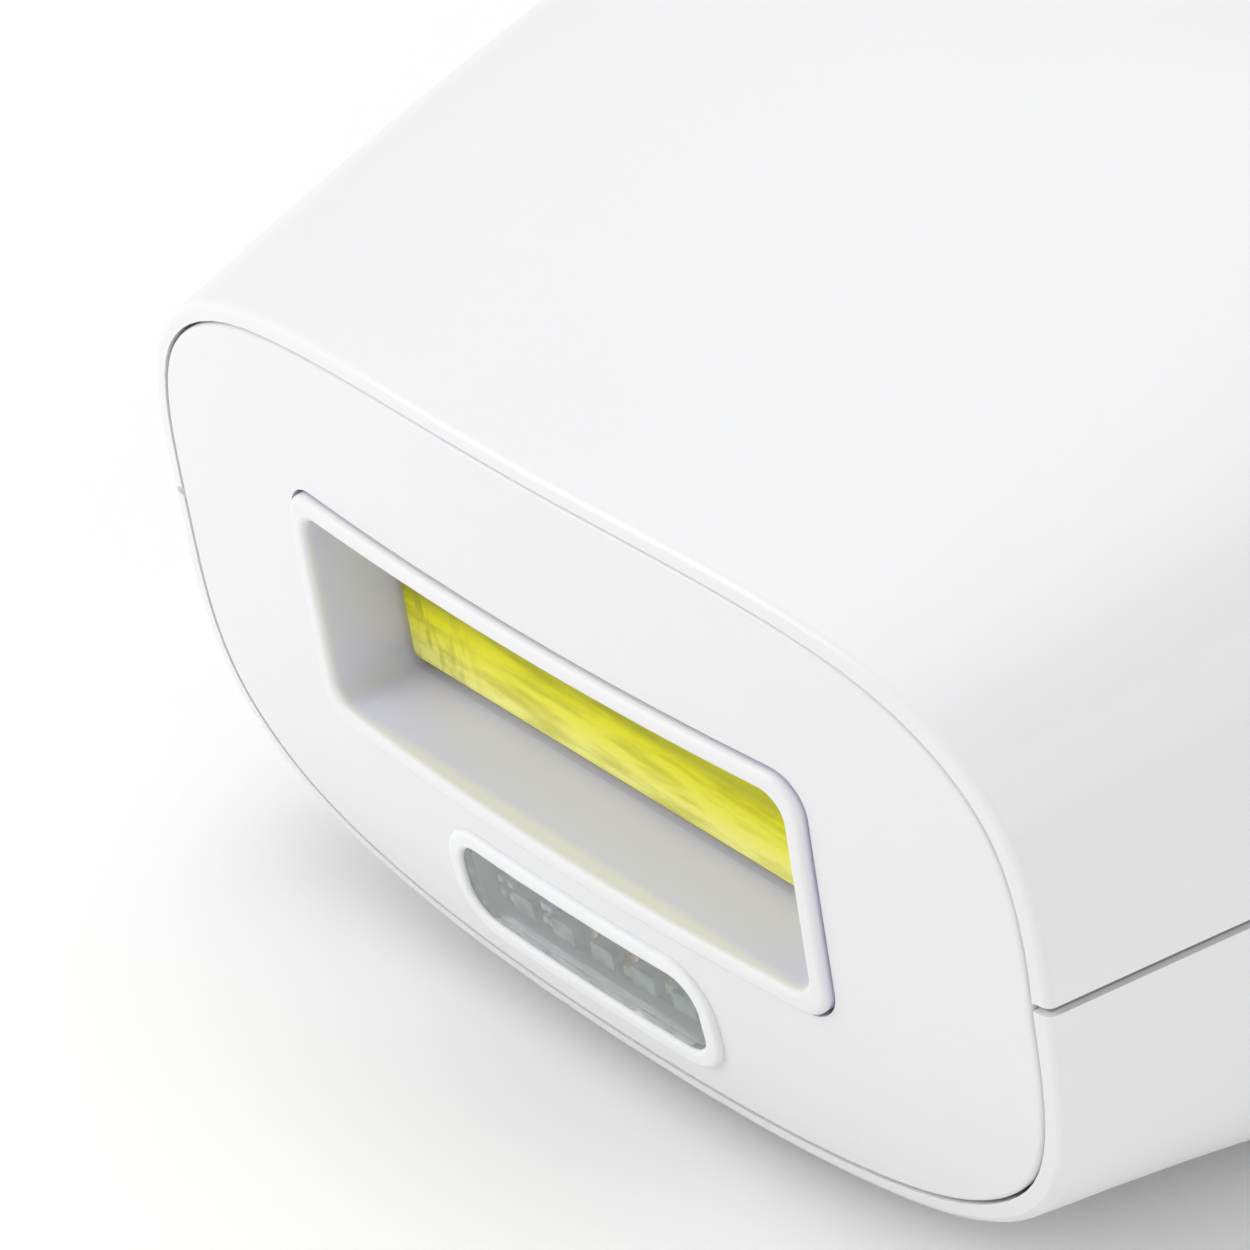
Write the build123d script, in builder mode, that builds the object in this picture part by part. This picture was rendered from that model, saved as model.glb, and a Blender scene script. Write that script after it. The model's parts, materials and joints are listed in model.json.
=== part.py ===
from build123d import *
from math import cos, pi, radians, sin
import os

os.makedirs("parts", exist_ok=True)

# Hand-held light-pulse hair remover: a flared head with a light window, on a curved grip.
# Millimetres.  The device lies on its inner side, so that the floor is z = 0, the face
# looks along -Y and slightly down, X runs across, and the origin is below its middle.

# ---------------------------------------------------------------- face plate and rim
plate_half_width = 33.2
plate_half_height = 17.05
plate_power = 3.64         # exponent of the superellipse outline
plate_drop = 0.95          # the plate's centre lies this far below the window's
plate_thickness = 1.8
plate_edge_round = 0.3
plate_seam = 0.15          # gap round the plate
plate_depth = 4.2          # depth of the pocket that the plate sits in
skirt_wall = 1.5
rim_width = 0.65
rim_round = 0.58
face_radius = 233.0        # the face is convex, turned about an upright axis behind it
face_crown = 0.86          # its middle stands this far out of the window corners' plane
face_curl = 1.16           # it falls back by this much at the height below
face_curl_height = 18.0
face_curl_power = 3.5
face_tilt = 10.3           # degrees that the face looks down
face_height = 20.7         # centre of the window above the floor

# ---------------------------------------------------------------- casing
wall = 2.2
ledge = 1.5                # shelf behind the plate
grip_length = 154.0        # from the back of the head to the start of the end cap
head_length = 30.0
cap_length = 8.0
cap_round = 4.5
side_flare = 0.212         # growth of the half width for each mm of depth
height_flare = 0.165       # growth of the half height for each mm of depth
centre_drop = 0.017        # drop of the section's centre for each mm of depth
head_half_height = 24.5
head_swell = 6.0           # the head's back is this much wider than its front, each side
grip_half_height = 20.6
grip_half_width = 29.8
tail_half_height = 16.4
tail_half_width = 23.0
parting_rise = 1.2         # the seam passes this far above the middle of the head's back
nose_lead = 3.7            # the top of the rim leads the window's centre by this much
tail_lead = 0.8            # the cap's rear face leans past its own length by this much
strip_gap = 0.5            # groove between the shells
strip_recess = 0.4         # the grey strip lies this deep in the groove

# ---------------------------------------------------------------- light window
window_width = 40.0        # outside of the contact frame
window_height = 14.45
window_corner = 2.0
frame_wall = 1.7
frame_lip = 0.45           # the frame stands this far out of the plate
frame_round = 0.42
opening_draft = 6.5         # degrees that the opening widens from the glass to the front
opening_corner = 1.0
frame_travel = 1.0
slide_gap = 0.2            # clearance round the frame in the plate
collar_wall = 1.2          # guide round the frame, on the plate's back
collar_depth = 7.9
lug_width = 6.0
lug_height = 9.0
lug_thickness = 2.0
fit_gap = 0.15             # clearance of parts dropped into each other
touch_gap = 0.05           # clearance of round parts pushed into each other

glass_depth = 4.0          # depth of the glass's front
glass_thickness = 3.0
glass_bevel = 0.6
gasket_thickness = 0.6
gasket_width = 1.6

# ---------------------------------------------------------------- skin-tone sensor
sensor_width = 18.9
sensor_height = 4.9
sensor_corner = 1.8
sensor_drop = 12.45        # centre of the sensor below the window's centre
bezel_width = 1.1
bezel_lip = 0.35
bezel_round = 0.3
lens_back_depth = 1.1      # depth of the lens's flat back
lens_sink = 0.25           # the lens lies this deep in the bezel
sensor_board_depth = 2.6
sensor_board_thickness = 0.8
sensor_part_height = 0.8

# ---------------------------------------------------------------- lamp
lamp_radius = 3.5
lamp_bore = 2.6
lamp_depth = 20.0
lamp_overhang = 6.5        # tube past the window's opening, each side
electrode_length = 4.0
pin_radius = 0.8
pin_length = 3.0
socket_wall = 0.8
socket_length = 2.6
reflector_radius = 5.6
reflector_mouth = 3.9      # half height of the reflector's front
reflector_sheet = 0.6
housing_wall = 1.5
housing_margin = 2.0       # housing past the contact frame, each side
housing_height = 20.0
neck_gap = 0.3             # clearance of the neck inside the contact frame
housing_back = 30.0
backplate_thickness = 1.5
ear_thickness = 1.2
spring_length = 4.4
spring_radius = 1.4
spring_wire = 0.4
spring_turns = 4
switch_size = 3.0
fin_base = 2.0
fin_length = 5.0
fin_count = 9
fin_sheet = 1.0

# ---------------------------------------------------------------- fan
fan_size = 38.0
fan_depth = 10.0
fan_place = 60.0           # middle of the fan behind the window's centre
fan_height = 28.0
fan_duct_radius = 17.6
fan_blade_radius = 16.8
fan_hub_radius = 8.5
fan_rotor_depth = 6.4
fan_blades = 7
fan_blade_sheet = 0.8
fan_blade_lean = 35.0
fan_shaft_radius = 1.5
running_gap = 0.05
fan_plate = 1.8
fan_gap = 0.4
fan_screw_radius = 1.6

# ---------------------------------------------------------------- grip insides
board_thickness = 1.6
board_level = 16.0         # underside of the power board above the floor
board_start = 70.0
board_length = 72.0
board_half_width = 18.5
part_gap = 0.3             # parts stand this far above their board
capacitor_radius = 9.0
capacitor_length = 34.0
capacitor_start = 108.0
transformer_size = 15.0
coil_radius = 4.6
coil_length = 13.0

# ---------------------------------------------------------------- controls
panel_place = 96.0         # middle of the control panel behind the window's centre
panel_half_length = 24.0
panel_half_width = 9.0
panel_sink = 0.25
panel_sheet = 1.3
panel_ledge = 1.2
power_radius = 5.5
step_radius = 4.2          # intensity buttons
power_offset = -13.5
step_offsets = (3.5, 14.5)
lights_offset = -4.8
light_radius = 0.75
light_pitch = 2.5
light_count = 5
ready_offset = -21.3
ready_radius = 1.0
button_lip = 0.8
button_round = 0.35
button_travel = 0.6
button_gap = 0.2
flange_width = 0.9
flange_depth = 3.2
flange_thickness = 1.0
stem_radius = 1.5
stem_length = 1.1
switch_height = 3.0
switch_half = 2.6
press_gap = 0.1            # play between a stem and its switch at full travel
control_board_half_length = 20.0
control_board_half_width = 7.0
control_board_thickness = 1.2
trigger_place = 80.0
trigger_half_width = 8.0
trigger_half_length = 11.0
trigger_corner = 5.0
trigger_lip = 1.5
trigger_travel = 1.2

# ---------------------------------------------------------------- vents
vent_place = 72.0          # middle of a side vent behind the window's centre
vent_level = 19.5
vent_length = 22.0
vent_height = 9.0
slot_count = 6
slot_width = 1.6

# ---------------------------------------------------------------- inlet and fasteners
inlet_radius = 2.75
inlet_wall = 1.6
inlet_length = 9.0
inlet_pin_radius = 0.95
inlet_pin_length = 3.0
inlet_well_radius = 2.1    # narrower room at the inlet's end, round its pin
inlet_floor = 2.0
spigot_length = 5.0
spigot_wall = 1.6
screw_radius = 1.2
pilot_radius = 0.95
screw_length = 13.0
screw_head_radius = 2.3
screw_head_height = 1.6
boss_radius = 3.6
seat_thickness = 3.2       # of the lower boss above the screw head
plug_radius = 2.5
plug_length = 4.0
head_screw_place = 46.0
head_screw_half_pitch = 29.0
grip_screw_place = 149.0
grip_screw_half_pitch = 15.5

# ================================================================ shape of the body
overall_length = nose_lead + head_length + grip_length + cap_length + tail_lead
face_y = nose_lead - overall_length / 2
tilt = radians(face_tilt)
face_plane = Plane(
    origin=(0, face_y, face_height),
    x_dir=(1, 0, 0),
    z_dir=(0, -cos(tilt), -sin(tilt)),
)
rim_half_width = plate_half_width + plate_seam + rim_width
rim_half_height = plate_half_height + plate_seam + rim_width
head_half_width = rim_half_width + head_swell
housing_start = glass_depth + glass_thickness + gasket_thickness + 4.2
lug_front = collar_depth + press_gap
frame_depth = lug_front + lug_thickness
opening_width = window_width - 2 * frame_wall
opening_height = window_height - 2 * frame_wall


def behind(distance, height=0.0):
    """Point at a distance behind the window's centre, at a height above the floor."""
    return (0, face_y + distance, height)


def superellipse(half_width, half_height, power, count=28):
    """Points of a closed superellipse, evenly spread round it."""
    points = []
    for step in range(count):
        turn = 2 * pi * (step + 0.5) / count
        across, up = cos(turn), sin(turn)
        reach = (abs(across) ** power + abs(up) ** power) ** (-1 / power)
        points.append((half_width * across * reach, half_height * up * reach))
    return points


def front_station(depth):
    """Section of the flared head: plane parallel to the face, half sizes, power."""
    drop = plate_drop + centre_drop * depth
    back = depth * cos(tilt) + drop * sin(tilt)
    level = face_height + depth * sin(tilt) - drop * cos(tilt)
    return (
        back,
        level,
        face_tilt,
        rim_half_width + side_flare * depth,
        rim_half_height + height_flare * depth,
        plate_power,
    )


def grip_station(share, level, lean, half_width, half_height, power):
    """Section of the back of the head and the grip, at a share of the grip's length."""
    return (head_length + share * grip_length, level, lean, half_width, half_height, power)


body_stations = [
    front_station(-2.5),
    front_station(6.0),
    front_station(14.0),
    grip_station(0.0, 24.05, 7.0, head_half_width, head_half_height, 3.3),
    grip_station(0.13, 27.2, 4.0, head_half_width + 1.4, head_half_height + 2.7, 3.1),
    grip_station(0.27, 29.7, 0.0, head_half_width - 2.0, head_half_height + 1.1, 2.9),
    grip_station(0.435, 29.8, -4.0, grip_half_width + 3.6, grip_half_height + 2.1, 2.7),
    grip_station(0.60, 27.3, -8.0, grip_half_width, grip_half_height, 2.6),
    grip_station(0.76, 22.8, -10.0, grip_half_width - 2.6, grip_half_height - 1.4, 2.5),
    grip_station(0.90, 18.3, -9.0, tail_half_width + 2.0, tail_half_height + 2.0, 2.5),
    grip_station(1.0, 16.6, -6.0, tail_half_width, tail_half_height, 2.5),
]


def station_plane(station):
    """Plane of a section, facing back along the body."""
    back, level, lean = station[:3]
    return Plane(
        origin=behind(back, level),
        x_dir=(-1, 0, 0),
        z_dir=(0, cos(radians(lean)), sin(radians(lean))),
    )


def body_form(inset):
    """The casing's outer form, or the same form a wall's thickness inside it."""
    with BuildPart() as form:
        for station in body_stations:
            half_width, half_height, power = station[3:]
            outline = superellipse(half_width - inset, half_height - inset, power)
            with BuildSketch(station_plane(station)):
                with BuildLine():
                    Spline(*outline, periodic=True)
                make_face()
        loft()
    return form.part


def deep(depth):
    """Plane parallel to the face, at a depth behind the window corners' plane."""
    return face_plane.offset(-depth)


def face_solid(offset):
    """Solid behind the doubly convex face, or behind a surface set back from it."""
    profile = []
    for step in range(-10, 11):
        height = step * overall_length / 32
        fall = face_curl * abs(height / face_curl_height) ** face_curl_power
        profile.append((face_radius - offset - fall, height))
    inward = -face_plane.z_dir
    turning_plane = Plane(
        origin=face_plane.from_local_coords((0, 0, face_crown - face_radius)),
        x_dir=inward,
        z_dir=inward.cross(face_plane.y_dir),
    )
    with BuildPart() as block:
        with BuildSketch(turning_plane):
            with BuildLine():
                Spline(*profile)
                Polyline(profile[-1], (0, profile[-1][1]), (0, profile[0][1]), profile[0])
            make_face()
        revolve(axis=Axis(turning_plane.origin, face_plane.y_dir))
    return block.part


def plate_block(grow, start, end):
    """Block with the plate's outline, grown by an amount, between two depths."""
    with BuildPart() as block:
        with BuildSketch(deep(start)):
            with BuildLine():
                outline = superellipse(
                    plate_half_width + grow, plate_half_height + grow, plate_power
                )
                Spline(*[(x, y - plate_drop) for x, y in outline], periodic=True)
            make_face()
        extrude(amount=start - end)
    return block.part


def window_block(width, height, corner, start, end, drop=0.0):
    """Block with a rounded window's outline between two depths."""
    with BuildPart() as block:
        with BuildSketch(deep(start)):
            with Locations((0, -drop)):
                RectangleRounded(width, height, corner)
        extrude(amount=start - end)
    return block.part


def casing_plane(distance, across, outward):
    """Plane on the casing's surface above (+1) or below (-1) a place, facing outwards."""
    axis = Axis(behind(distance, face_height), (0, 0, outward))
    axis = Axis((across, axis.position.Y, face_height), (0, 0, outward))
    hits = outer_form.find_intersection_points(axis)
    point, normal = max(hits, key=lambda hit: outward * hit[0].Z)
    normal = normal if normal.Z * outward > 0 else -normal
    return Plane(origin=point, x_dir=(1, 0, 0), z_dir=(0, normal.Y, normal.Z))


def parting_level(distance):
    """Height of the seam between the shells, at a distance behind the window."""
    spot = parting_line.intersect(Plane(origin=behind(distance), z_dir=(0, 1, 0)))
    return spot[0].center().Z


def casing_region(top):
    """Everything above or below the groove between the two shells."""
    side = 1 if top else -1
    with BuildPart() as region:
        with BuildSketch(Plane.YZ):
            with BuildLine():
                points = [(y, z + side * strip_gap / 2) for y, z in parting_points]
                seam = Spline(*points)
                far = side * 2 * overall_length
                Polyline(seam @ 1, (points[-1][0], far), (points[0][0], far), seam @ 0)
            make_face()
        extrude(amount=overall_length, both=True)
    return region.part


outer_form = body_form(0)
inner_form = body_form(wall)
head_back, head_level = body_stations[3][:2]
parting_points = [
    behind(depth * cos(tilt), face_height + depth * sin(tilt))[1:] for depth in (-6.0, 6.0, 14.0)
]
parting_points += [behind(head_back, head_level + parting_rise)[1:]]
parting_points += [behind(back, level)[1:] for back, level, *rest in body_stations[4:]]
parting_points += [(face_y + overall_length, body_stations[-1][1] - 2.0)]
parting_line = Spline(*[(0, y, z) for y, z in parting_points])
tail_plane = station_plane(body_stations[-1])

# ================================================================ casing
with BuildPart() as casing:
    add(outer_form)
    add(face_solid(0), mode=Mode.INTERSECT)
    front_face = casing.faces().sort_by(Axis.Y)[0]
    fillet(front_face.edges(), radius=rim_round)
    split(bisect_by=Plane.XY, keep=Keep.TOP)
    add(plate_block(plate_seam, -6, plate_depth), mode=Mode.SUBTRACT)
    add(plate_block(-skirt_wall - ledge, plate_depth, plate_depth + ledge), mode=Mode.SUBTRACT)

with BuildPart() as cavity:
    add(inner_form)
    split(bisect_by=deep(plate_depth + ledge), keep=Keep.BOTTOM)


def placed(part, name):
    """Label a finished piece and write it under its own name."""
    part.label = name
    export_step(part, f"parts/{name}.step")


# Screw bosses reach from the casing to the seam, inside the casing's own form.
screw_places = [
    (side * half_pitch, place)
    for place, half_pitch in (
        (head_screw_place, head_screw_half_pitch),
        (grip_screw_place, grip_screw_half_pitch),
    )
    for side in (-1, 1)
]


def upright(across, distance, radius, low, high):
    """Upright cylinder between two heights."""
    with BuildPart() as post:
        with BuildSketch(Plane.XY.offset(low)):
            with Locations((across, face_y + distance)):
                Circle(radius)
        extrude(amount=high - low)
    return post.part


with BuildPart() as boss_room:
    add(body_form(wall / 2))
    add(casing_region(False), mode=Mode.INTERSECT)

with BuildPart() as boss_attic:
    add(body_form(wall / 2))
    add(casing_region(True), mode=Mode.INTERSECT)

with BuildPart() as lower_bosses:
    for across, place in screw_places:
        add(upright(across, place, boss_radius, 0, 2 * face_height))
    add(boss_room.part, mode=Mode.INTERSECT)

with BuildPart() as upper_bosses:
    for across, place in screw_places:
        add(upright(across, place, boss_radius, 0, 4 * face_height))
    add(boss_attic.part, mode=Mode.INTERSECT)

with BuildPart() as screw_holes:
    for across, place in screw_places:
        seam_level = parting_level(place)
        seat_level = seam_level - seat_thickness
        add(upright(across, place, plug_radius, -1, seat_level))
        add(upright(across, place, screw_radius + fit_gap, seat_level, seam_level + 1))

with BuildPart() as pilot_holes:
    for across, place in screw_places:
        seam_level = parting_level(place)
        add(upright(across, place, pilot_radius, seam_level - 1, seam_level + screw_length))

# Openings for the control panel, the trigger and the vents.
panel_plane = casing_plane(panel_place, 0, 1)
trigger_plane = casing_plane(trigger_place, 0, -1)


def panel_block(grow):
    """Upright block with the control panel's outline, grown by an amount."""
    with BuildPart() as block:
        with BuildSketch(panel_plane):
            half_straight = panel_half_length - panel_half_width
            SlotCenterToCenter(2 * half_straight, 2 * (panel_half_width + grow), rotation=90)
        extrude(amount=4 * wall, both=True)
    return block.part


def trigger_block(grow, start, end):
    """Block with the trigger's outline between two depths inside the casing."""
    with BuildPart() as block:
        with BuildSketch(trigger_plane.offset(-start)):
            width = 2 * (trigger_half_width + grow)
            length = 2 * (trigger_half_length + grow)
            RectangleRounded(width, length, trigger_corner + grow)
        extrude(amount=start - end)
    return block.part


def vent_block(side, grow):
    """Block across one side of the casing with the vent's outline."""
    with BuildPart() as block:
        with BuildSketch(Plane.YZ.offset(side * grip_half_width / 2)):
            with Locations(behind(vent_place, vent_level)[1:]):
                SlotOverall(vent_length + 2 * grow, vent_height + 2 * grow)
        extrude(amount=side * 2 * grip_half_width)
    return block.part


seat_form = body_form(panel_sink + panel_sheet)
sunk_form = body_form(panel_sink)
grown_form = body_form(-button_lip)

with BuildPart() as panel_seat:
    add(panel_block(fit_gap))
    add(seat_form, mode=Mode.SUBTRACT)

with BuildPart() as vent_seats:
    add(vent_block(1, fit_gap))
    add(vent_block(-1, fit_gap))
    add(seat_form, mode=Mode.SUBTRACT)

with BuildPart() as hollow_casing:
    add(casing.part)
    add(cavity.part, mode=Mode.SUBTRACT)

with BuildPart() as upper_shell:
    add(hollow_casing.part)
    add(casing_region(True), mode=Mode.INTERSECT)
    add(upper_bosses.part)
    add(pilot_holes.part, mode=Mode.SUBTRACT)
    add(panel_seat.part, mode=Mode.SUBTRACT)
    add(panel_block(-panel_ledge), mode=Mode.SUBTRACT)
placed(upper_shell.part, "upper_shell")

with BuildPart() as lower_shell:
    add(hollow_casing.part)
    add(casing_region(False), mode=Mode.INTERSECT)
    add(lower_bosses.part)
    add(screw_holes.part, mode=Mode.SUBTRACT)
    add(vent_seats.part, mode=Mode.SUBTRACT)
    add(vent_block(1, -panel_ledge), mode=Mode.SUBTRACT)
    add(vent_block(-1, -panel_ledge), mode=Mode.SUBTRACT)
    add(trigger_block(button_gap, -2 * wall, 2 * wall), mode=Mode.SUBTRACT)
placed(lower_shell.part, "lower_shell")

# Grey strips in the groove between the shells, one on each side.
with BuildPart() as groove_filler:
    add(body_form(strip_recess))
    add(face_solid(strip_recess), mode=Mode.INTERSECT)
    add(plate_block(plate_seam, -6, plate_depth), mode=Mode.SUBTRACT)
    add(plate_block(-skirt_wall - ledge, plate_depth, plate_depth + ledge), mode=Mode.SUBTRACT)
    add(cavity.part, mode=Mode.SUBTRACT)

with BuildPart() as groove:
    with BuildSketch(Plane.YZ):
        with BuildLine():
            upper_edge = Spline(*[(y, z + strip_gap / 2) for y, z in parting_points])
            lower_edge = Spline(*[(y, z - strip_gap / 2) for y, z in parting_points])
            Line(upper_edge @ 0, lower_edge @ 0)
            Line(upper_edge @ 1, lower_edge @ 1)
        make_face()
    extrude(amount=overall_length, both=True)

for side, side_name in ((-1, "left"), (1, "right")):
    with BuildPart() as seam_strip:
        add(groove_filler.part)
        add(groove.part, mode=Mode.INTERSECT)
        split(bisect_by=Plane.YZ, keep=Keep.TOP if side > 0 else Keep.BOTTOM)
    placed(seam_strip.part, f"seam_strip_{side_name}")

# ================================================================ face plate
with BuildPart() as plate_core:
    add(plate_block(0, -6, plate_depth))
    add(face_solid(0), mode=Mode.INTERSECT)
    plate_front = plate_core.faces().sort_by(Axis.Y)[0]
    fillet(plate_front.edges(), radius=plate_edge_round)

with BuildPart() as plate_back:
    add(plate_block(-skirt_wall, -6, plate_depth))
    add(face_solid(plate_thickness), mode=Mode.INTERSECT)

bezel_outer_width = sensor_width + 2 * bezel_width
bezel_outer_height = sensor_height + 2 * bezel_width
bezel_outer_corner = sensor_corner + bezel_width
guide_width = window_width + 2 * slide_gap
guide_height = window_height + 2 * slide_gap

with BuildPart() as face_plate:
    add(plate_core.part)
    add(plate_back.part, mode=Mode.SUBTRACT)
    collar_width = guide_width + 2 * collar_wall
    collar_height = guide_height + 2 * collar_wall
    add(window_block(collar_width, collar_height, window_corner, plate_thickness, collar_depth))
    add(
        window_block(guide_width, guide_height, window_corner + slide_gap, -6, collar_depth),
        mode=Mode.SUBTRACT,
    )
    add(
        window_block(
            bezel_outer_width, bezel_outer_height, bezel_outer_corner, -6, plate_depth, sensor_drop
        ),
        mode=Mode.SUBTRACT,
    )
placed(face_plate.part, "face_plate")

# ================================================================ contact frame
with BuildPart() as frame_bar:
    add(window_block(window_width, window_height, window_corner, -6, frame_depth))
    add(face_solid(-frame_lip), mode=Mode.INTERSECT)
    add(
        window_block(opening_width, opening_height, opening_corner, 0, frame_depth),
        mode=Mode.SUBTRACT,
    )
    with BuildSketch(deep(glass_depth)):
        RectangleRounded(opening_width, opening_height, opening_corner)
    extrude(amount=glass_depth + 3, taper=-opening_draft, mode=Mode.SUBTRACT)
    frame_front = frame_bar.faces().sort_by(Axis.Y)[0]
    fillet(frame_front.edges(), radius=frame_round)

with BuildPart() as contact_frame:
    add(frame_bar.part)
    with BuildSketch(deep(lug_front)):
        lug_middle = (window_width + lug_width) / 2 - touch_gap
        with Locations((lug_middle, 0), (-lug_middle, 0)):
            Rectangle(lug_width, lug_height)
    extrude(amount=-lug_thickness)
placed(contact_frame.part, "contact_frame")

glass_width = opening_width - 2 * fit_gap
glass_height = opening_height - 2 * fit_gap
glass_corner = opening_corner - fit_gap
gasket_front = glass_depth + glass_thickness
with BuildPart() as filter_glass:
    add(window_block(glass_width, glass_height, glass_corner, glass_depth, gasket_front))
    chamfer(filter_glass.faces().sort_by(Axis.Y)[0].edges(), length=glass_bevel)
placed(filter_glass.part, "filter_glass")

neck_front = gasket_front + gasket_thickness
neck_width = glass_width - 2 * gasket_width
neck_height = glass_height - 2 * gasket_width
with BuildPart() as filter_gasket:
    add(window_block(glass_width, glass_height, glass_corner, gasket_front, neck_front))
    add(
        window_block(neck_width, neck_height, 0.5, gasket_front - 1, neck_front + 1),
        mode=Mode.SUBTRACT,
    )
placed(filter_gasket.part, "filter_gasket")

# ================================================================ skin-tone sensor
with BuildPart() as sensor_bezel:
    add(
        window_block(
            bezel_outer_width,
            bezel_outer_height,
            bezel_outer_corner,
            -6,
            sensor_board_depth,
            sensor_drop,
        )
    )
    add(face_solid(-bezel_lip), mode=Mode.INTERSECT)
    add(
        window_block(sensor_width, sensor_height, sensor_corner, -6, plate_depth, sensor_drop),
        mode=Mode.SUBTRACT,
    )
    bezel_front = sensor_bezel.faces().sort_by(Axis.Y)[0]
    fillet(bezel_front.edges(), radius=bezel_round)
placed(sensor_bezel.part, "sensor_bezel")

with BuildPart() as sensor_lens:
    add(
        window_block(
            sensor_width - 2 * touch_gap,
            sensor_height - 2 * touch_gap,
            sensor_corner - touch_gap,
            -6,
            lens_back_depth,
            sensor_drop,
        )
    )
    add(face_solid(lens_sink - bezel_lip), mode=Mode.INTERSECT)
placed(sensor_lens.part, "sensor_lens")

sensor_board_back = sensor_board_depth + sensor_board_thickness
with BuildPart() as sensor_board:
    add(
        window_block(
            bezel_outer_width,
            sensor_height + bezel_width - 0.4,
            0.4,
            sensor_board_depth,
            sensor_board_back,
            sensor_drop,
        )
    )
placed(sensor_board.part, "sensor_board")

with BuildPart() as sensor_parts:
    with BuildSketch(deep(sensor_board_depth)):
        with Locations((0, -sensor_drop)):
            with GridLocations(sensor_width / 6, sensor_height / 2.4, 5, 2):
                Rectangle(1.7, 1.1)
    extrude(amount=sensor_part_height)
placed(sensor_parts.part, "sensor_parts")

# ================================================================ lamp housing
housing_half_width = window_width / 2 + housing_margin
housing_width = 2 * housing_half_width
ear_front = frame_depth + spring_length
with BuildPart() as lamp_housing:
    add(window_block(housing_width, housing_height, 1.5, housing_start, housing_back))
    add(
        window_block(
            opening_width - 2 * neck_gap, opening_height - 2 * neck_gap, 0.5, neck_front, housing_start
        )
    )
    add(
        window_block(
            housing_width - 2 * housing_wall,
            housing_height - 2 * housing_wall,
            0.5,
            housing_start + housing_wall,
            housing_back + 1,
        ),
        mode=Mode.SUBTRACT,
    )
    add(
        window_block(neck_width, neck_height, 0.4, neck_front - 1, housing_start + housing_wall + 1),
        mode=Mode.SUBTRACT,
    )
    with BuildSketch(deep(ear_front)):
        with Locations((housing_half_width + 2.0, 0), (-housing_half_width - 2.0, 0)):
            Rectangle(4.0 + 2 * housing_wall, lug_height)
        Rectangle(housing_width - 2 * housing_wall, lug_height, mode=Mode.SUBTRACT)
    extrude(amount=-ear_thickness)
    with BuildSketch(Plane.YZ.offset(-overall_length / 2)):
        lamp_centre = deep(lamp_depth).origin
        with Locations((lamp_centre.Y, lamp_centre.Z)):
            Circle(lamp_radius + fit_gap)
    extrude(amount=overall_length, mode=Mode.SUBTRACT)
placed(lamp_housing.part, "lamp_housing")

with BuildPart() as lamp_backplate:
    add(
        window_block(
            housing_width, housing_height, 1.5, housing_back, housing_back + backplate_thickness
        )
    )
placed(lamp_backplate.part, "lamp_backplate")

side_plane = Plane(origin=face_plane.origin, x_dir=-face_plane.z_dir, z_dir=(1, 0, 0))
trough_front = housing_start + housing_wall + 0.2
trough_half_length = neck_width / 2


def trough_block(grow, front, half_length):
    """Block along X with the reflector's section: straight sides and a round back."""
    with BuildPart() as block:
        with BuildSketch(side_plane):
            with BuildLine():
                radius = reflector_radius + grow
                mouth = reflector_mouth + grow
                Polyline((lamp_depth, -radius), (front, -mouth), (front, mouth), (lamp_depth, radius))
                ThreePointArc((lamp_depth, radius), (lamp_depth + radius, 0), (lamp_depth, -radius))
            make_face()
        extrude(amount=half_length, both=True)
    return block.part


with BuildPart() as reflector:
    add(trough_block(reflector_sheet, trough_front, trough_half_length))
    add(trough_block(0, trough_front - 0.01, trough_half_length + 1), mode=Mode.SUBTRACT)
placed(reflector.part, "reflector")


def along_lamp(radius, start, length):
    """Pair of cylinders on the lamp's axis, one at each end, from a distance outwards."""
    with BuildPart() as pair:
        for side in (-1, 1):
            with BuildSketch(side_plane.offset(side * start)):
                with Locations((lamp_depth, 0)):
                    Circle(radius)
            extrude(amount=side * length)
    return pair.part


with BuildPart() as reflector_ends:
    add(trough_block(reflector_sheet, trough_front, trough_half_length + reflector_sheet))
    with BuildSketch(side_plane):
        Rectangle(overall_length, overall_length)
    extrude(amount=trough_half_length, both=True, mode=Mode.SUBTRACT)
    add(along_lamp(lamp_radius + fit_gap, trough_half_length - 1, 4), mode=Mode.SUBTRACT)
placed(reflector_ends.part, "reflector_ends")

lamp_half_length = opening_width / 2 + lamp_overhang
with BuildPart() as flash_lamp:
    with BuildSketch(side_plane):
        with Locations((lamp_depth, 0)):
            Circle(lamp_radius)
            Circle(lamp_bore, mode=Mode.SUBTRACT)
    extrude(amount=lamp_half_length, both=True)
placed(flash_lamp.part, "flash_lamp")

with BuildPart() as lamp_electrodes:
    cap_start = lamp_half_length - electrode_length
    add(along_lamp(lamp_bore - touch_gap, cap_start, electrode_length))
    add(along_lamp(pin_radius, lamp_half_length, pin_length))
placed(lamp_electrodes.part, "lamp_electrodes")

with BuildPart() as lamp_sockets:
    add(along_lamp(lamp_radius + socket_wall, housing_half_width + touch_gap, socket_length))
    add(along_lamp(lamp_radius + touch_gap, housing_half_width - 1, 2 * socket_length), mode=Mode.SUBTRACT)
placed(lamp_sockets.part, "lamp_sockets")

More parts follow.
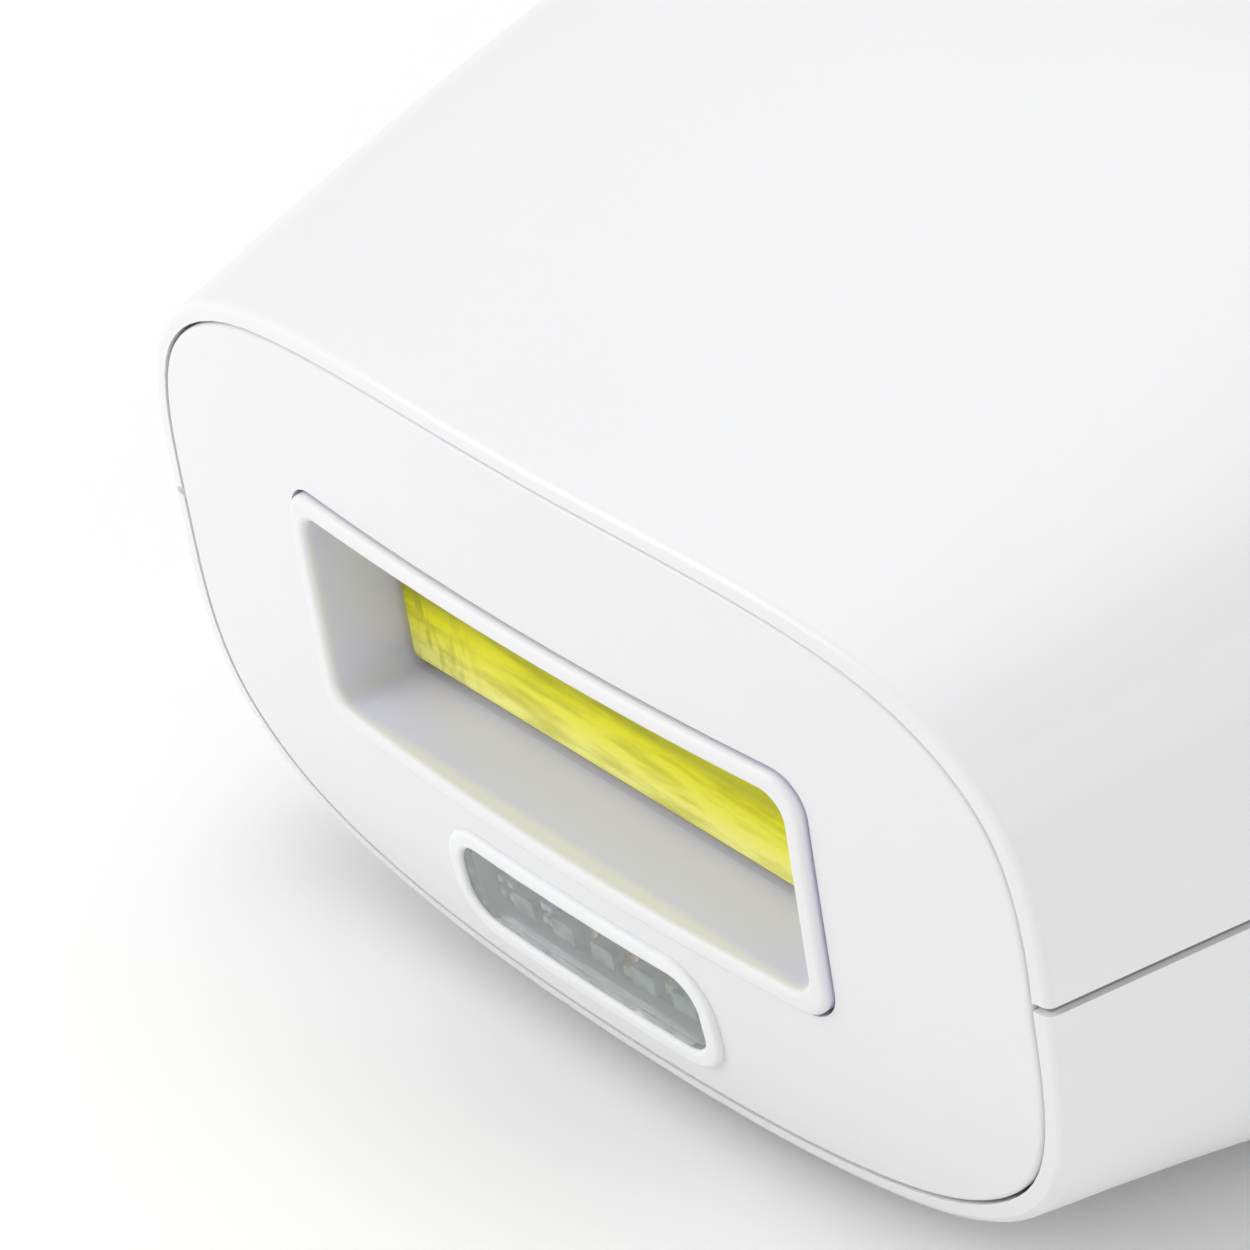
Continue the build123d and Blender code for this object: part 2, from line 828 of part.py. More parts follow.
# Springs and switches behind the contact frame's lugs.
spring_across = window_width / 2 + lug_width - 2.4
spring_rise = spring_length - spring_wire - 4 * touch_gap
with BuildPart() as frame_springs:
    for side in (-1, 1):
        spring_plane = Plane(
            origin=deep(ear_front - spring_wire / 2 - 2 * touch_gap).from_local_coords(
                (side * spring_across, spring_radius + 0.4, 0)
            ),
            x_dir=(1, 0, 0),
            z_dir=face_plane.z_dir,
        )
        with BuildLine(spring_plane):
            coil = Helix(
                pitch=spring_rise / spring_turns,
                height=spring_rise,
                radius=spring_radius,
                center=spring_plane.origin,
                direction=spring_plane.z_dir,
            )
        with BuildSketch(Plane(origin=coil @ 0, z_dir=coil % 0)):
            Circle(spring_wire / 2)
        sweep(path=coil)
placed(frame_springs.part, "frame_springs")

with BuildPart() as frame_switches:
    with BuildSketch(deep(frame_depth + frame_travel + press_gap)):
        with GridLocations(2 * spring_across, 1, 2, 1):
            with Locations((0, -2.6)):
                Rectangle(switch_size, switch_size)
    extrude(amount=-(spring_length - frame_travel - press_gap))
placed(frame_switches.part, "frame_switches")

fin_front = housing_back + backplate_thickness
with BuildPart() as heat_sink:
    with BuildSketch(deep(fin_front)):
        Rectangle(housing_width - 4, housing_height - 2)
    extrude(amount=-fin_base)
    with BuildSketch(deep(fin_front + fin_base)):
        with GridLocations((housing_width - 6) / (fin_count - 1), 1, fin_count, 1):
            Rectangle(fin_sheet, housing_height - 2)
    extrude(amount=-fin_length)
placed(heat_sink.part, "heat_sink")

# ================================================================ fan
fan_plane = Plane(
    origin=behind(fan_place - fan_depth / 2, fan_height), x_dir=(-1, 0, 0), z_dir=(0, 1, 0)
)
with BuildPart() as fan_frame:
    with BuildSketch(fan_plane):
        RectangleRounded(fan_size, fan_size, 3)
        Circle(fan_duct_radius, mode=Mode.SUBTRACT)
        with GridLocations(fan_size - 5.5, fan_size - 5.5, 2, 2):
            Circle(fan_screw_radius, mode=Mode.SUBTRACT)
    extrude(amount=fan_depth)
    with BuildSketch(fan_plane.offset(fan_depth - fan_plate)):
        Circle(fan_hub_radius)
        with PolarLocations(0, 4):
            with Locations((fan_duct_radius / 2 + 1, 0)):
                Rectangle(fan_duct_radius, 2.4)
    extrude(amount=fan_plate)
    with BuildSketch(fan_plane.offset(fan_depth - fan_plate)):
        Circle(fan_shaft_radius)
    extrude(amount=-(fan_rotor_depth - 1))
placed(fan_frame.part, "fan_frame")

rotor_plane = fan_plane.offset(fan_depth - fan_plate - fan_gap - fan_rotor_depth)
with BuildPart() as fan_rotor:
    with BuildSketch(rotor_plane):
        Circle(fan_hub_radius)
    extrude(amount=fan_rotor_depth)
    blade_length = fan_blade_radius - fan_hub_radius + 1
    with Locations(rotor_plane.offset(fan_rotor_depth / 2)):
        with PolarLocations(0, fan_blades):
            with Locations(Location((fan_hub_radius - 1 + blade_length / 2, 0, 0), (fan_blade_lean, 0, 0))):
                Box(blade_length, fan_blade_sheet, fan_rotor_depth / cos(radians(fan_blade_lean)) - 1.2)
    with BuildSketch(rotor_plane.offset(fan_rotor_depth)):
        Circle(fan_shaft_radius + running_gap)
    extrude(amount=-(fan_rotor_depth - 1 + fan_gap), mode=Mode.SUBTRACT)
placed(fan_rotor.part, "fan_rotor")

# ================================================================ vents
for side, side_name in ((-1, "left"), (1, "right")):
    with BuildPart() as vent_grille:
        add(vent_block(side, 0))
        add(sunk_form, mode=Mode.INTERSECT)
        add(seat_form, mode=Mode.SUBTRACT)
        with BuildSketch(Plane.YZ.offset(side * grip_half_width / 2)):
            with Locations(behind(vent_place, vent_level)[1:]):
                with GridLocations((vent_length - vent_height + 2) / (slot_count - 1), 1, slot_count, 1):
                    SlotOverall(vent_height - 3.0, slot_width, rotation=90)
        extrude(amount=side * 2 * grip_half_width, mode=Mode.SUBTRACT)
    placed(vent_grille.part, f"vent_grille_{side_name}")

# ================================================================ control panel
step_names = ("intensity_up_button", "intensity_down_button")
light_spots = [((k - (light_count - 1) / 2) * light_pitch, lights_offset) for k in range(light_count)]

with BuildPart() as control_panel:
    add(panel_block(0))
    add(sunk_form, mode=Mode.INTERSECT)
    add(seat_form, mode=Mode.SUBTRACT)
    with BuildSketch(panel_plane.offset(2 * wall)):
        with Locations((0, power_offset)):
            Circle(power_radius + button_gap)
        with Locations(*[(0, offset) for offset in step_offsets]):
            Circle(step_radius + button_gap)
        with Locations(*light_spots):
            Circle(light_radius + touch_gap)
        with Locations((0, ready_offset)):
            Circle(ready_radius + touch_gap)
    extrude(amount=-4 * wall, mode=Mode.SUBTRACT)
placed(control_panel.part, "control_panel")


def panel_button(radius, offset):
    """Round button whose top follows the casing, with a flange and a stem below it."""
    with BuildPart() as button:
        with BuildSketch(panel_plane.offset(-flange_depth)):
            with Locations((0, offset)):
                Circle(radius)
        extrude(amount=flange_depth + 2 * wall)
        add(grown_form, mode=Mode.INTERSECT)
        fillet(button.edges().sort_by(Axis.Z)[-1], radius=button_round)
        with BuildSketch(panel_plane.offset(-flange_depth)):
            with Locations((0, offset)):
                Circle(radius + flange_width)
        extrude(amount=-flange_thickness)
        with BuildSketch(panel_plane.offset(-flange_depth - flange_thickness)):
            with Locations((0, offset)):
                Circle(stem_radius)
        extrude(amount=-stem_length)
    return button.part


placed(panel_button(power_radius, power_offset), "power_button")
for step_name, step_offset in zip(step_names, step_offsets):
    placed(panel_button(step_radius, step_offset), step_name)

switch_top = flange_depth + flange_thickness + stem_length + button_travel + press_gap
control_board_top = switch_top + switch_height
with BuildPart() as control_board:
    with BuildSketch(panel_plane.offset(-control_board_top)):
        RectangleRounded(2 * control_board_half_width, 2 * control_board_half_length, 1.5)
    extrude(amount=-control_board_thickness)
placed(control_board.part, "control_board")

with BuildPart() as tact_switches:
    with BuildSketch(panel_plane.offset(-control_board_top)):
        with Locations(*[(0, offset) for offset in (power_offset, *step_offsets)]):
            Rectangle(2 * switch_half, 2 * switch_half)
    extrude(amount=switch_height - 0.8)
    with BuildSketch(panel_plane.offset(-control_board_top)):
        with Locations(*[(0, offset) for offset in (power_offset, *step_offsets)]):
            Circle(stem_radius)
    extrude(amount=switch_height)
placed(tact_switches.part, "tact_switches")


def light_pipes(radius, spots):
    """Light pipes from just above the control board up to the casing's surface."""
    with BuildPart() as pipes:
        with BuildSketch(panel_plane.offset(-control_board_top + 1.2)):
            with Locations(*spots):
                Circle(radius)
        extrude(amount=control_board_top + wall)
        add(body_form(panel_sink / 2), mode=Mode.INTERSECT)
    return pipes.part


placed(light_pipes(light_radius, light_spots), "intensity_lights")
placed(light_pipes(ready_radius, [(0, ready_offset)]), "ready_light")

# ================================================================ trigger
with BuildPart() as flash_button:
    add(trigger_block(0, -2 * wall, flange_depth))
    add(body_form(-trigger_lip), mode=Mode.INTERSECT)
    fillet(flash_button.edges().group_by(Axis.Z)[0], radius=button_round)
    add(trigger_block(flange_width, flange_depth, flange_depth + flange_thickness))
    with BuildSketch(trigger_plane.offset(-flange_depth - flange_thickness)):
        Circle(stem_radius)
    extrude(amount=-stem_length)
placed(flash_button.part, "flash_button")

trigger_switch_front = flange_depth + flange_thickness + stem_length + trigger_travel + press_gap
with BuildPart() as trigger_switch:
    with BuildSketch(trigger_plane.offset(-trigger_switch_front)):
        Rectangle(2 * switch_half, 2 * switch_half)
    extrude(amount=-4 * wall)
    with BuildSketch(Plane.XY.offset(board_level)):
        Rectangle(4 * overall_length, 4 * overall_length)
    extrude(amount=overall_length, mode=Mode.SUBTRACT)
placed(trigger_switch.part, "trigger_switch")

# ================================================================ power electronics
board_middle = board_start + board_length / 2
with BuildPart() as main_board:
    with BuildSketch(Plane.XY.offset(board_level)):
        with Locations(behind(board_middle)[:2]):
            RectangleRounded(2 * board_half_width, board_length, 2)
    extrude(amount=board_thickness)
placed(main_board.part, "main_board")

board_top = board_level + board_thickness
with BuildPart() as storage_capacitor:
    capacitor_plane = Plane(
        origin=behind(capacitor_start, board_top + capacitor_radius + part_gap),
        x_dir=(-1, 0, 0),
        z_dir=(0, 1, 0),
    )
    with BuildSketch(capacitor_plane):
        Circle(capacitor_radius)
    extrude(amount=capacitor_length)
    fillet(storage_capacitor.edges().filter_by(GeomType.CIRCLE), radius=1.0)
placed(storage_capacitor.part, "storage_capacitor")

with BuildPart() as transformer:
    with BuildSketch(Plane.XY.offset(board_top)):
        with Locations(behind(board_start + 14)[:2]):
            with Locations((-board_half_width / 2, 0)):
                Rectangle(transformer_size, transformer_size + 3)
    extrude(amount=transformer_size)
    chamfer(transformer.edges().filter_by(Axis.Z), length=0.8)
placed(transformer.part, "transformer")

with BuildPart() as trigger_coil:
    coil_plane = Plane(
        origin=(
            board_half_width / 2,
            face_y + board_start + 8,
            board_top + coil_radius,
        ),
        x_dir=(-1, 0, 0),
        z_dir=(0, 1, 0),
    )
    with BuildSketch(coil_plane):
        Circle(coil_radius)
    extrude(amount=coil_length)
    with BuildSketch(coil_plane.offset(1.5)):
        Circle(coil_radius)
        Circle(coil_radius - 0.8, mode=Mode.SUBTRACT)
    extrude(amount=coil_length - 3, mode=Mode.SUBTRACT)
placed(trigger_coil.part, "trigger_coil")

with BuildPart() as board_parts:
    with BuildSketch(Plane.XY.offset(board_top)):
        with Locations(behind(board_start + 30)[:2]):
            with GridLocations(8.0, 5.0, 4, 1):
                Rectangle(5.0, 3.0)
        with Locations(behind(board_start + board_length - 6)[:2]):
            with GridLocations(20.0, 4.0, 2, 1):
                Rectangle(6.0, 5.0)
    extrude(amount=2.4)
placed(board_parts.part, "board_parts")

# ================================================================ end cap and inlet
tail_power = body_stations[-1][5]
socket_radius = inlet_radius + inlet_wall


def tail_block(inset, start, end):
    """Block with the tail's outline, set in by an amount, between two distances past it."""
    with BuildPart() as block:
        with BuildSketch(tail_plane.offset(start)):
            with BuildLine():
                outline = superellipse(tail_half_width - inset, tail_half_height - inset, tail_power)
                Spline(*outline, periodic=True)
            make_face()
        extrude(amount=end - start)
    return block.part


with BuildPart() as end_cap:
    add(tail_block(0, 0, cap_length))
    fillet(end_cap.faces().sort_by(Axis.Y)[-1].edges(), radius=cap_round)
    add(tail_block(wall + 2 * fit_gap, -spigot_length, 0))
    add(
        tail_block(wall + 2 * fit_gap + spigot_wall, -spigot_length, cap_length - 2 * wall),
        mode=Mode.SUBTRACT,
    )
    with BuildSketch(tail_plane.offset(cap_length)):
        Circle(socket_radius)
    extrude(amount=-cap_length, mode=Mode.SUBTRACT)
placed(end_cap.part, "end_cap")

with BuildPart() as inlet_socket:
    with BuildSketch(tail_plane.offset(cap_length)):
        Circle(socket_radius - touch_gap)
    extrude(amount=-(inlet_length + inlet_pin_length + inlet_floor))
    with BuildSketch(tail_plane.offset(cap_length)):
        Circle(inlet_radius)
    extrude(amount=-inlet_length, mode=Mode.SUBTRACT)
    with BuildSketch(tail_plane.offset(cap_length)):
        Circle(inlet_well_radius)
    extrude(amount=-(inlet_length + inlet_pin_length), mode=Mode.SUBTRACT)
placed(inlet_socket.part, "inlet_socket")

with BuildPart() as inlet_pin:
    with BuildSketch(tail_plane.offset(cap_length - inlet_length - inlet_pin_length)):
        Circle(inlet_pin_radius)
    extrude(amount=inlet_pin_length)
placed(inlet_pin.part, "inlet_pin")

# ================================================================ fasteners
with BuildPart() as shell_screws:
    for across, place in screw_places:
        head_top = parting_level(place) - seat_thickness
        add(upright(across, place, screw_head_radius, head_top - screw_head_height, head_top))
        add(upright(across, place, pilot_radius, head_top, head_top + screw_length))
placed(shell_screws.part, "shell_screws")

with BuildPart() as screw_plugs:
    for across, place in screw_places:
        skin = casing_plane(place, across, -1).origin.Z
        add(upright(across, place, plug_radius - touch_gap, 0, skin + plug_length))
    add(sunk_form, mode=Mode.INTERSECT)
placed(screw_plugs.part, "screw_plugs")
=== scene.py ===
import json
import math

import bmesh
import bpy
from mathutils import Matrix, Vector
from mathutils.bvhtree import BVHTree


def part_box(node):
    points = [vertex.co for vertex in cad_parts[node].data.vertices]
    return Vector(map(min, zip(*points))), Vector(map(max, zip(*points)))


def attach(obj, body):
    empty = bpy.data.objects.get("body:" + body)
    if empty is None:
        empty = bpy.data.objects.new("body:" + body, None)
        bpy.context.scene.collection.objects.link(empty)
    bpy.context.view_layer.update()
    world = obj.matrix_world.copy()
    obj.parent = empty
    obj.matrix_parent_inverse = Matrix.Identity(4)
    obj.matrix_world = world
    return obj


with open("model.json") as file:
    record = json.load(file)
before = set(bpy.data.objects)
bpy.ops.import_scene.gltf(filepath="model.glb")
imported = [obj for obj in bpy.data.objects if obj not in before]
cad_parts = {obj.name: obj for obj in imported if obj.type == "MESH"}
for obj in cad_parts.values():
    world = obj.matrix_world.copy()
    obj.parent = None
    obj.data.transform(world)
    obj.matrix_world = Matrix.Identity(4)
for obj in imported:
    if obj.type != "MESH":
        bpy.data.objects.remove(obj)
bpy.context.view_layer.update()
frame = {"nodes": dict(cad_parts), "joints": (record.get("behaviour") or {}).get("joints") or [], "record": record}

# Looks of a hand-held light-pulse hair remover: its materials, the small parts on the
# sensor's board, the marks on the keys, the ring round the inlet, the camera and the light.

nodes = frame["nodes"]
record = frame["record"]
joint = {j["name"]: j for j in frame["joints"]}
MM = 0.001

# ------------------------------------------------------------ the head's own frame
into = Vector(joint["frame_press"]["axis"]).normalized()     # into the head, square to the face
across = Vector((1, 0, 0))
upward = across.cross(into).normalized()                     # up along the face
glass_low, glass_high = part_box("filter_glass")
glass_behind_window = 5.5                                    # mm, middle of the glass to the window
window_centre = (glass_low + glass_high) / 2 - into * glass_behind_window * MM


def at_face(x, depth, up):
    """Point in the head's frame: across, into the head and up along the face, in mm."""
    return window_centre + across * (x * MM) + into * (depth * MM) + upward * (up * MM)


face_turn = Matrix((across, into, upward))                   # row frame to the head's frame
face_shift = -(face_turn @ window_centre) / MM


# ------------------------------------------------------------ materials
def new_material(name):
    material = bpy.data.materials.new(name)
    material.use_nodes = True
    tree = material.node_tree
    shader = next(n for n in tree.nodes if n.type == "BSDF_PRINCIPLED")
    return material, tree, shader


def noise(tree, place, size_mm, detail=3.0, stretch=(1, 1, 1), unit=MM):
    """Noise of a given grain size; the place is in metres, or in mm where unit is 1."""
    scale = tree.nodes.new("ShaderNodeMapping")
    scale.inputs["Scale"].default_value = [s / (size_mm * unit) for s in stretch]
    tree.links.new(place, scale.inputs["Vector"])
    grain = tree.nodes.new("ShaderNodeTexNoise")
    grain.inputs["Scale"].default_value = 1.0
    grain.inputs["Detail"].default_value = detail
    tree.links.new(scale.outputs["Vector"], grain.inputs["Vector"])
    return grain.outputs["Fac"]


def ramp(tree, value, stops):
    """Colour ramp through (position, colour) stops."""
    band = tree.nodes.new("ShaderNodeValToRGB")
    elements = band.color_ramp.elements
    elements[0].position, elements[0].color = stops[0][0], (*stops[0][1], 1)
    elements[1].position, elements[1].color = stops[-1][0], (*stops[-1][1], 1)
    for position, colour in stops[1:-1]:
        element = elements.new(position)
        element.color = (*colour, 1)
    tree.links.new(value, band.inputs["Fac"])
    return band.outputs["Color"]


def spread(tree, value, low, high, start=0.0, end=1.0):
    """Value between start and end brought to between low and high."""
    stretch = tree.nodes.new("ShaderNodeMapRange")
    for name, number in (("From Min", start), ("From Max", end), ("To Min", low), ("To Max", high)):
        stretch.inputs[name].default_value = number
    tree.links.new(value, stretch.inputs["Value"])
    return stretch.outputs["Result"]


def object_place(tree):
    return tree.nodes.new("ShaderNodeTexCoord").outputs["Object"]


def face_place(tree):
    """Place in the head's frame, in mm."""
    turn = tree.nodes.new("ShaderNodeMapping")
    turn.inputs["Scale"].default_value = (1 / MM, 1 / MM, 1 / MM)
    turn.inputs["Rotation"].default_value = face_turn.to_euler("XYZ")
    turn.inputs["Location"].default_value = face_shift
    tree.links.new(object_place(tree), turn.inputs["Vector"])
    return turn.outputs["Vector"]


def bump(tree, shader, height, depth_mm, strength=1.0):
    raise_it = tree.nodes.new("ShaderNodeBump")
    raise_it.inputs["Strength"].default_value = strength
    raise_it.inputs["Distance"].default_value = depth_mm * MM
    tree.links.new(height, raise_it.inputs["Height"])
    tree.links.new(raise_it.outputs["Normal"], shader.inputs["Normal"])


def moulded(name, colour, roughness, grain_mm=0.5, grain_depth=0.0, mottle=0.004, coat=0.0,
            soft=0.0):
    """Moulded part: slight clouding of its colour and gloss, and a fine grain."""
    material, tree, shader = new_material(name)
    place = object_place(tree)
    cloud = noise(tree, place, 14.0, 2.0)
    low = [max(0.0, c * (1 - mottle)) for c in colour]
    high = [min(1.0, c * (1 + mottle)) for c in colour]
    tree.links.new(ramp(tree, cloud, [(0.3, low), (0.7, high)]), shader.inputs["Base Color"])
    grain = noise(tree, place, grain_mm)
    rough = spread(tree, noise(tree, place, 5.0), roughness * 0.92, roughness * 1.08)
    tree.links.new(rough, shader.inputs["Roughness"])
    if grain_depth:
        bump(tree, shader, grain, grain_depth)
    shader.inputs["Coat Weight"].default_value = coat
    shader.inputs["Coat Roughness"].default_value = 0.12
    shader.inputs["Subsurface Weight"].default_value = soft
    shader.inputs["Subsurface Scale"].default_value = 0.002
    return material


def brushed(name, colour, roughness, stretch=(1, 12, 1)):
    """Metal with fine lines along one way."""
    material, tree, shader = new_material(name)
    lines = noise(tree, object_place(tree), 0.6, 4.0, stretch)
    low = [c * 0.88 for c in colour]
    high = [min(1.0, c * 1.1) for c in colour]
    tree.links.new(ramp(tree, lines, [(0.35, low), (0.65, high)]), shader.inputs["Base Color"])
    tree.links.new(spread(tree, lines, roughness * 0.7, roughness * 1.3), shader.inputs["Roughness"])
    shader.inputs["Metallic"].default_value = 1.0
    bump(tree, shader, lines, 0.01)
    return material


def clear(name, colour, roughness, clarity=1.0, smear=0.3):
    """Clear or frosted moulding with a trace of smear on it."""
    material, tree, shader = new_material(name)
    smears = noise(tree, object_place(tree), 2.5, 3.0)
    tree.links.new(
        spread(tree, smears, roughness * (1 - smear), roughness * (1 + smear)), shader.inputs["Roughness"]
    )
    shader.inputs["Base Color"].default_value = (*colour, 1)
    shader.inputs["Transmission Weight"].default_value = clarity
    shader.inputs["IOR"].default_value = 1.45
    return material


def filter_yellow():
    """Yellow filter glass: painted light by height (a painted highlight above, a painted dull band across the
    middle, a painted pale glow below), dull streaks, dark spots to one side, an olive ground bevel, and a painted
    glow in its emission.
    """
    material, tree, shader = new_material("filter_yellow")
    place = face_place(tree)
    parts = tree.nodes.new("ShaderNodeSeparateXYZ")
    tree.links.new(place, parts.inputs["Vector"])
    waver = spread(tree, noise(tree, place, 3.2, 5.0, (0.35, 1, 1), 1.0), -0.35, 0.35)
    level = tree.nodes.new("ShaderNodeMath")
    level.operation = "ADD"
    tree.links.new(parts.outputs["Z"], level.inputs[0])
    tree.links.new(waver, level.inputs[1])
    height = spread(tree, level.outputs["Value"], 0.0, 1.0, -5.6, 5.6)
    # Painted light by height: a painted highlight in the upper part, a painted dark band across the middle and a
    # painted pale glow near the bottom.
    painted_light_by_height = ramp(
        tree,
        height,
        [
            (0.03, (0.60, 0.57, 0.05)),
            (0.10, (0.84, 0.82, 0.24)),
            (0.24, (0.78, 0.76, 0.08)),
            (0.38, (0.68, 0.66, 0.006)),
            (0.46, (0.42, 0.42, 0.015)),
            (0.54, (0.50, 0.50, 0.01)),
            (0.64, (0.70, 0.71, 0.003)),
            (0.98, (0.66, 0.68, 0.003)),
        ],
    )
    streak = noise(tree, place, 0.9, 6.0, (0.18, 1, 1), 1.0)
    dull = ramp(tree, streak, [(0.34, (0.66, 0.66, 0.40)), (0.54, (1.0, 1.0, 1.0))])
    marks = noise(tree, place, 1.1, 4.0, (1.4, 1, 0.35), 1.0)
    side = spread(tree, parts.outputs["X"], 0.0, 0.75, -11.0, -17.5)
    spots = tree.nodes.new("ShaderNodeMath")
    spots.operation = "MULTIPLY"
    tree.links.new(ramp(tree, marks, [(0.50, (0, 0, 0)), (0.62, (1, 1, 1))]), spots.inputs[0])
    tree.links.new(side, spots.inputs[1])
    streaked = tree.nodes.new("ShaderNodeMix")
    streaked.data_type, streaked.blend_type = "RGBA", "MULTIPLY"
    streaked.inputs["Factor"].default_value = 0.75
    tree.links.new(painted_light_by_height, streaked.inputs["A"])
    tree.links.new(dull, streaked.inputs["B"])
    marked = tree.nodes.new("ShaderNodeMix")
    marked.data_type = "RGBA"
    tree.links.new(spots.outputs["Value"], marked.inputs["Factor"])
    tree.links.new(streaked.outputs["Result"], marked.inputs["A"])
    marked.inputs["B"].default_value = (0.30, 0.29, 0.03, 1)
    bevel = spread(tree, parts.outputs["Z"], 1.0, 0.0, -4.95, -4.80)
    edged = tree.nodes.new("ShaderNodeMix")
    edged.data_type = "RGBA"
    tree.links.new(bevel, edged.inputs["Factor"])
    tree.links.new(marked.outputs["Result"], edged.inputs["A"])
    edged.inputs["B"].default_value = (0.30, 0.28, 0.025, 1)
    tree.links.new(edged.outputs["Result"], shader.inputs["Base Color"])
    # The glass's colour also drives a faint emission. This is a painted glow, since the glass is no lamp.
    tree.links.new(edged.outputs["Result"], shader.inputs["Emission Color"])
    shader.inputs["Emission Strength"].default_value = 0.06
    shader.inputs["Roughness"].default_value = 0.3
    shader.inputs["Specular IOR Level"].default_value = 0.10
    bump(tree, shader, streak, 0.01)
    return material


def frame_white(name, colour):
    """White moulding of the contact frame, with painted shade: cooler and darker deeper down in its opening."""
    material, tree, shader = new_material(name)
    place = face_place(tree)
    parts = tree.nodes.new("ShaderNodeSeparateXYZ")
    tree.links.new(place, parts.inputs["Vector"])
    # Painted shade: the colour turns cooler and darker with depth into the opening.
    depth = spread(tree, parts.outputs["Y"], 0.0, 1.0, -0.5, 4.2)
    painted_recess_shade = (colour[0] * 0.87, colour[1] * 0.87, colour[2] * 1.06)
    shade = ramp(tree, depth, [(0.02, colour), (0.12, painted_recess_shade), (1.0, painted_recess_shade)])
    tree.links.new(shade, shader.inputs["Base Color"])
    rough = spread(tree, noise(tree, object_place(tree), 4.0), 0.34, 0.42)
    tree.links.new(rough, shader.inputs["Roughness"])
    return material


def circuit(name, ground, copper, cell_mm):
    """Solder mask over copper tracks, with bright pads."""
    material, tree, shader = new_material(name)
    place = face_place(tree)
    grid = tree.nodes.new("ShaderNodeTexBrick")
    grid.inputs["Scale"].default_value = 1.0 / cell_mm
    grid.inputs["Color1"].default_value = (*ground, 1)
    grid.inputs["Color2"].default_value = (*[c * 1.35 for c in ground], 1)
    grid.inputs["Mortar"].default_value = (*copper, 1)
    grid.inputs["Mortar Size"].default_value = 0.05
    grid.inputs["Brick Width"].default_value = 0.9
    grid.inputs["Row Height"].default_value = 0.45
    turn = tree.nodes.new("ShaderNodeMapping")
    turn.inputs["Rotation"].default_value = (math.pi / 2, 0, 0)
    tree.links.new(place, turn.inputs["Vector"])
    tree.links.new(turn.outputs["Vector"], grid.inputs["Vector"])
    tree.links.new(grid.outputs["Color"], shader.inputs["Base Color"])
    tree.links.new(spread(tree, grid.outputs["Fac"], 0.45, 0.3), shader.inputs["Roughness"])
    bump(tree, shader, grid.outputs["Fac"], 0.03, -0.5)
    return material


def package(name, low, high, size_mm):
    """Small moulded parts, each part a little different from the next."""
    material, tree, shader = new_material(name)
    cells = tree.nodes.new("ShaderNodeTexVoronoi")
    cells.inputs["Scale"].default_value = 1.0 / (size_mm * MM)
    tree.links.new(object_place(tree), cells.inputs["Vector"])
    shade = ramp(tree, cells.outputs["Distance"], [(0.1, low), (0.7, high)])
    tree.links.new(shade, shader.inputs["Base Color"])
    shader.inputs["Roughness"].default_value = 0.45
    bump(tree, shader, cells.outputs["Distance"], 0.02)
    return material


looks = {
    "white_gloss": moulded("white_gloss", (0.785, 0.785, 0.795), 0.36, 1.2, 0.001, soft=0.03, coat=0.1),
    "soft_white": moulded("soft_white", (0.85, 0.85, 0.86), 0.5, 0.3, 0.004, soft=0.1),
    # The grey strip's colour is its own grey, set darker still as painted shade for the groove it sits in.
    "grey_strip": moulded("grey_strip", (0.26, 0.26, 0.265), 0.5, 0.25, 0.01, 0.02),
    "yellow_glass": filter_yellow(),
    "clear_lens": clear("clear_lens", (0.86, 0.90, 0.90), 0.04, 0.90),
    "light_pipe": clear("light_pipe", (0.92, 0.96, 1.0), 0.35, 0.6),
    "circuit_board": circuit("circuit_board", (0.10, 0.15, 0.13), (0.42, 0.30, 0.22), 2.4),
    "chips": package("chips", (0.16, 0.17, 0.17), (0.42, 0.45, 0.45), 2.2),
    "dark_plastic": moulded("dark_plastic", (0.045, 0.045, 0.05), 0.5, 0.3, 0.02, 0.1),
    "grey_trim": moulded("grey_trim", (0.52, 0.53, 0.55), 0.42, 0.25, 0.02, 0.02),
    "button": moulded("button", (0.80, 0.80, 0.81), 0.3, 0.8, 0.003, coat=0.3),
    "polished_aluminium": brushed("polished_aluminium", (0.88, 0.89, 0.9), 0.08, (1, 4, 4)),
    "aluminium": brushed("aluminium", (0.62, 0.63, 0.65), 0.35),
    "quartz": clear("quartz", (0.97, 0.98, 1.0), 0.03),
    "steel": brushed("steel", (0.62, 0.61, 0.59), 0.25),
    "silicone": moulded("silicone", (0.62, 0.16, 0.06), 0.6, 0.4, 0.02, 0.05, soft=0.1),
    "plug_rubber": moulded("plug_rubber", (0.55, 0.56, 0.58), 0.65, 0.3, 0.03, 0.04),
    "capacitor_sleeve": moulded("capacitor_sleeve", (0.03, 0.04, 0.12), 0.3, 0.8, 0.01, 0.1, coat=0.3),
    "copper_winding": brushed("copper_winding", (0.72, 0.30, 0.12), 0.3, (1, 9, 1)),
    "black_plastic": moulded("black_plastic", (0.02, 0.02, 0.022), 0.4, 0.3, 0.02, 0.1),
}
own_looks = {
    "contact_frame": frame_white("frame_white", (0.80, 0.80, 0.81)),
    "sensor_board": circuit("sensor_board_mask", (0.20, 0.24, 0.23), (0.46, 0.30, 0.23), 2.1),
    "sensor_parts": package("sensor_chips", (0.22, 0.26, 0.27), (0.62, 0.66, 0.64), 1.4),
}
for subpart in record["subparts"]:
    mesh = nodes[subpart["node"]].data
    mesh.materials.clear()
    mesh.materials.append(own_looks.get(subpart["node"], looks[subpart["material_slot"]]))


# ------------------------------------------------------------ new pieces
def piece(name, form, material, body):
    """Finished piece that rides with a body of the frame."""
    bmesh.ops.recalc_face_normals(form, faces=form.faces)
    mesh = bpy.data.meshes.new(name)
    form.to_mesh(mesh)
    form.free()
    mesh.materials.append(material)
    made = bpy.data.objects.new(name, mesh)
    bpy.context.scene.collection.objects.link(made)
    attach(made, body)


